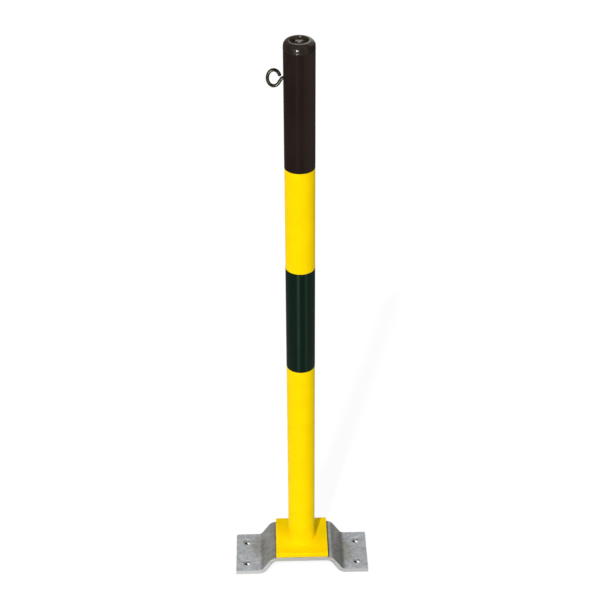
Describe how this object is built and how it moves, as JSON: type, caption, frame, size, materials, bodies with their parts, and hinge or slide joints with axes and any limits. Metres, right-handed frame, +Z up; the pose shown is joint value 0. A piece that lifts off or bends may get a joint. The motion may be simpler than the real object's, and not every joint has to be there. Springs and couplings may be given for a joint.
{
  "type": "barrier post",
  "caption": "Removable barrier post: yellow tube with dark bands, triangular key lock in the head, wire eye, square foot plate and a bolted-down galvanised ground bracket.",
  "frame": {"origin": "on the ground under the tube's axis, midway between the bracket's feet", "axes": "+Z up along the tube, +X along the ground bracket, away from the wire eye; -Y is the front, as in the picture"},
  "size_m": [0.245, 0.098, 1.04],
  "materials": {
    "galvanised_steel": "hot-dip galvanised, mottled grey, satin",
    "yellow_coating": "traffic yellow powder coat, semi-gloss, on steel",
    "brown_black_film": "brown-black adhesive film, gloss",
    "green_black_film": "green-black adhesive film, gloss",
    "black_head": "cast and turned, black stove enamel, gloss",
    "blackened_wire": "blackened steel wire, satin",
    "dark_spindle": "oiled dark steel, worn on top",
    "bright_steel": "zinc-plated steel, satin",
    "bush_bronze": "turned bronze, dry"
  },
  "bodies": {
    "post": {"ground_bridge": "galvanised_steel", "foot_plate": "yellow_coating", "plate_weld": "yellow_coating", "locating_pins": "bright_steel", "bottom_bush": "bush_bronze", "post_tube": "yellow_coating", "upper_band": "brown_black_film", "lower_band": "green_black_film", "head_cap": "black_head", "top_bush": "bush_bronze", "eye_screw": "blackened_wire", "eye_nut": "bright_steel"},
    "lock": {"key_spindle": "dark_spindle", "thrust_washer": "bright_steel", "stop_pin": "bright_steel", "coupling_sleeve": "bright_steel", "coupling_pins": "bright_steel", "lock_rod": "bright_steel", "hammer_head": "galvanised_steel", "hammer_pin": "bright_steel"}
  },
  "joints": [
    {"name": "lock_turn", "type": "hinge", "parent": "post", "child": "lock", "pos_m": [0, 0, 1.014], "axis": [0, 0, 1], "range_deg": [0, 90]}
  ]
}
